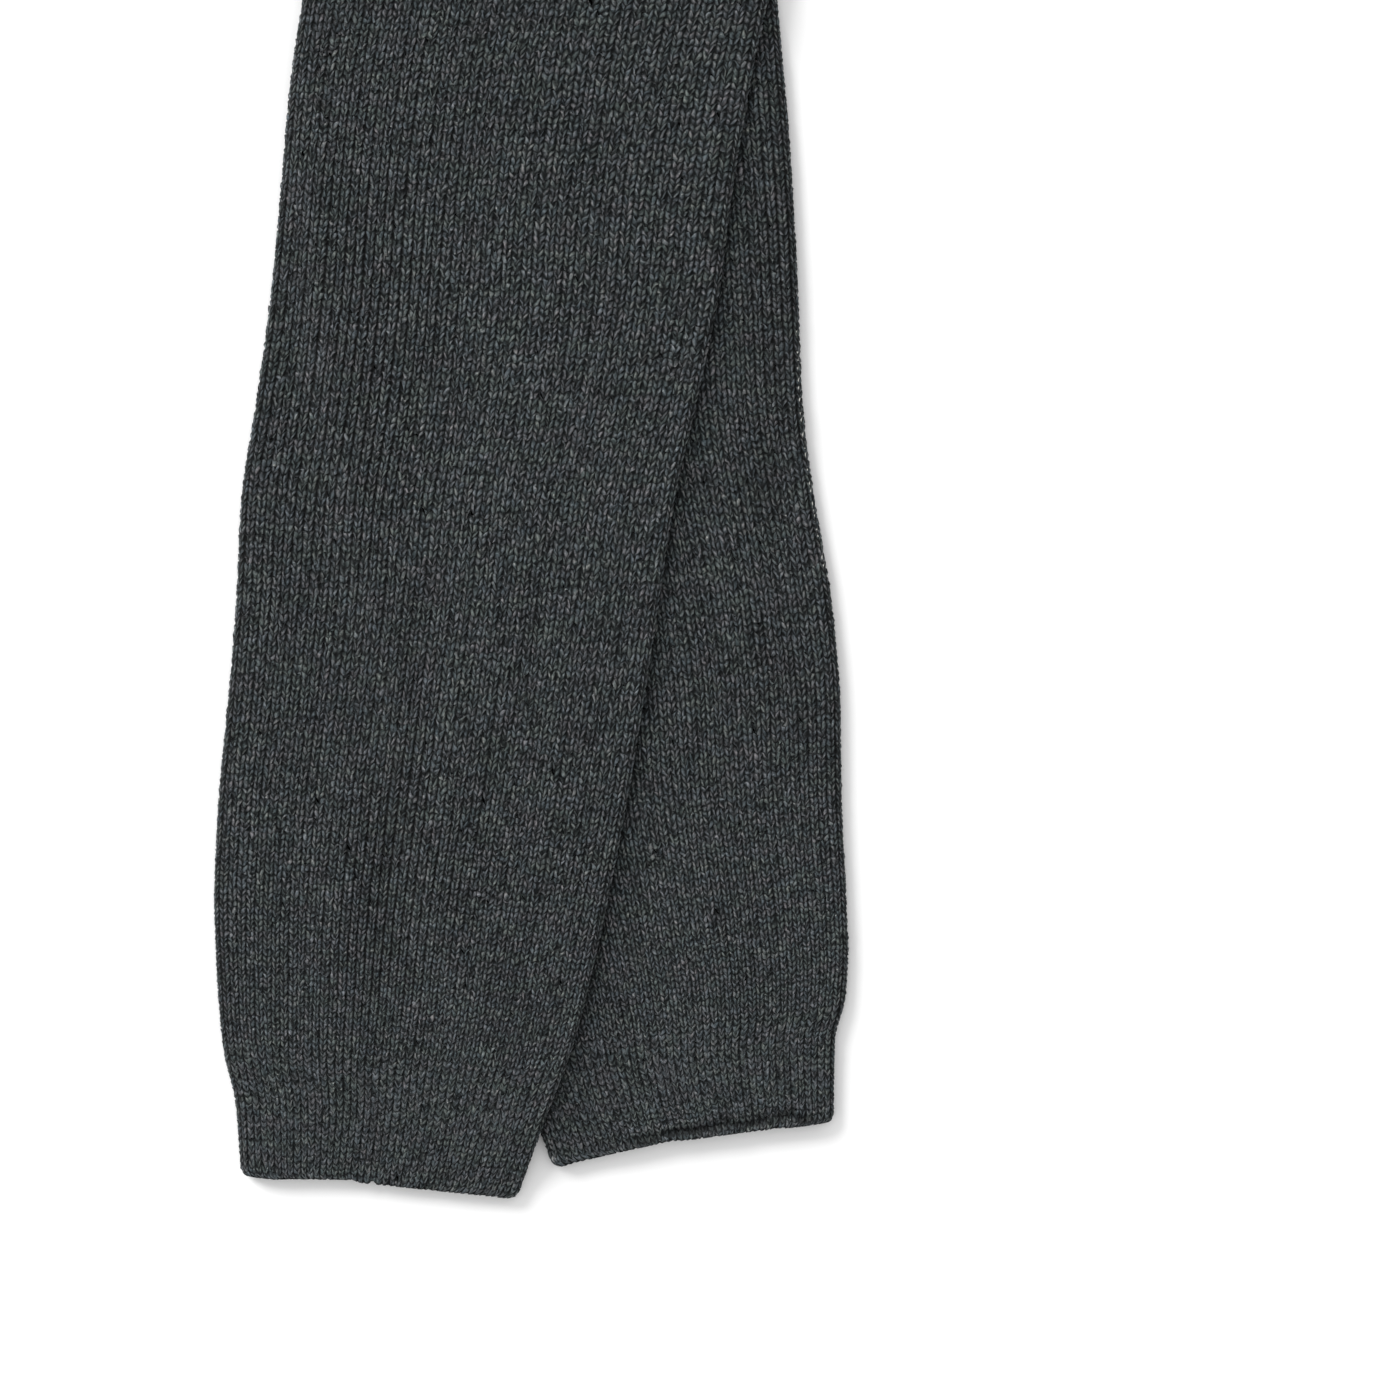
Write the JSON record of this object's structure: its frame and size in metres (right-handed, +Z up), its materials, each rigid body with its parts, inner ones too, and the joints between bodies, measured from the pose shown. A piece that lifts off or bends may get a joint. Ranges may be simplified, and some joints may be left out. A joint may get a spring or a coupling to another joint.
{
  "type": "pair of footless leggings",
  "caption": "Charcoal marl knitted footless leggings for a toddler, folded in half and laid flat with the legs slightly spread.",
  "frame": {"origin": "centre of the bounding box on the surface the leggings lie on", "axes": "+X across the garment, +Y from the hems up to the waist, +Z up from the surface"},
  "size_m": [0.1861, 0.554, 0.0092],
  "materials": {
    "marl_knit": "charcoal marl wool knit, matt with short loose fibres",
    "cuff_knit": "charcoal marl wool knit, tighter stitches, matt"
  },
  "bodies": {
    "root": {"front_left": "marl_knit", "back_left": "marl_knit", "back_right": "marl_knit", "front_right": "marl_knit", "cuff_left": "cuff_knit", "cuff_right": "cuff_knit", "waistband": "cuff_knit"}
  },
  "joints": []
}
